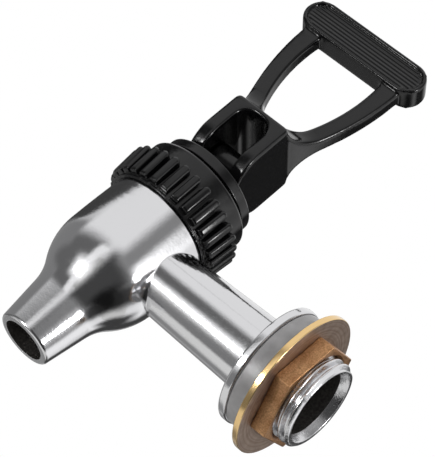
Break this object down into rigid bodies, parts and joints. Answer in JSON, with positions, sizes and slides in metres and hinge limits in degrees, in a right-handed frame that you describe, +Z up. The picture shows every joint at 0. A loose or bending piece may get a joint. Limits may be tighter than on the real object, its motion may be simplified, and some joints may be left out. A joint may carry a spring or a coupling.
{
  "type": "beverage dispenser spigot",
  "caption": "Lever tap for a drinks dispenser: conical spout and bulb on a flanged, threaded shank, with ribbed bonnet, D-shaped lever, washers and lock nut.",
  "frame": {"origin": "on the shank's axis, at the back face of the flange that meets the dispenser's wall", "axes": "+Y along the shank through the dispenser's wall, +Z up along the valve axis from the spout to the lever, +X across"},
  "size_m": [0.035, 0.0744, 0.1124],
  "materials": {
    "chrome": "bright nickel-chrome plate on a polished casting",
    "black_plastic": "moulded black, satin gloss",
    "stem_plastic": "moulded black",
    "steel": "drawn stainless",
    "white_silicone": "moulded silicone",
    "clear_silicone": "translucent grey silicone",
    "brass": "turned rim, dull stamped faces",
    "cast_brass": "granular, brown"
  },
  "bodies": {
    "tap_body": {"faucet_body": "chrome", "bonnet": "black_plastic", "panel_washer": "clear_silicone", "seat_cup": "white_silicone"},
    "swivel": {"thrust_collar": "black_plastic", "return_spring": "steel"},
    "valve_stem": {"stem": "stem_plastic"},
    "lever": {"lever_handle": "black_plastic", "lever_pin": "steel"},
    "backing_washer": {"brass_washer": "brass"},
    "nut": {"lock_nut": "cast_brass"}
  },
  "joints": [
    {"name": "lever_swivel", "type": "hinge", "parent": "tap_body", "child": "swivel", "pos_m": [0, -0.0431, 0], "axis": [0, 0, 1], "continuous": true},
    {"name": "stem_lift", "type": "slide", "parent": "swivel", "child": "valve_stem", "axis": [0, 0, 1], "range_m": [0, 0.0017], "deforming": ["return_spring", "seat_cup"]},
    {"name": "lever_tilt", "type": "hinge", "parent": "valve_stem", "child": "lever", "pos_m": [0, -0.0431, 0.0315], "axis": [0, 1, 0], "range_deg": [0, 40], "stiffness_Nm_per_rad": 0.03, "springref_deg": -57.3},
    {"name": "washer_slide", "type": "slide", "parent": "tap_body", "child": "backing_washer", "axis": [0, 1, 0], "range_m": [0, 0.00635]},
    {"name": "nut_turn", "type": "hinge", "parent": "backing_washer", "child": "nut", "pos_m": [0, 0, 0], "axis": [0, 1, 0], "range_deg": [0, 1260]}
  ],
  "couplings": [
    {"joint": "stem_lift", "follows": "lever_tilt", "m_per_rad": 0.0024},
    {"joint": "nut_turn", "follows": "washer_slide", "rad_per_m": 3463.7}
  ]
}
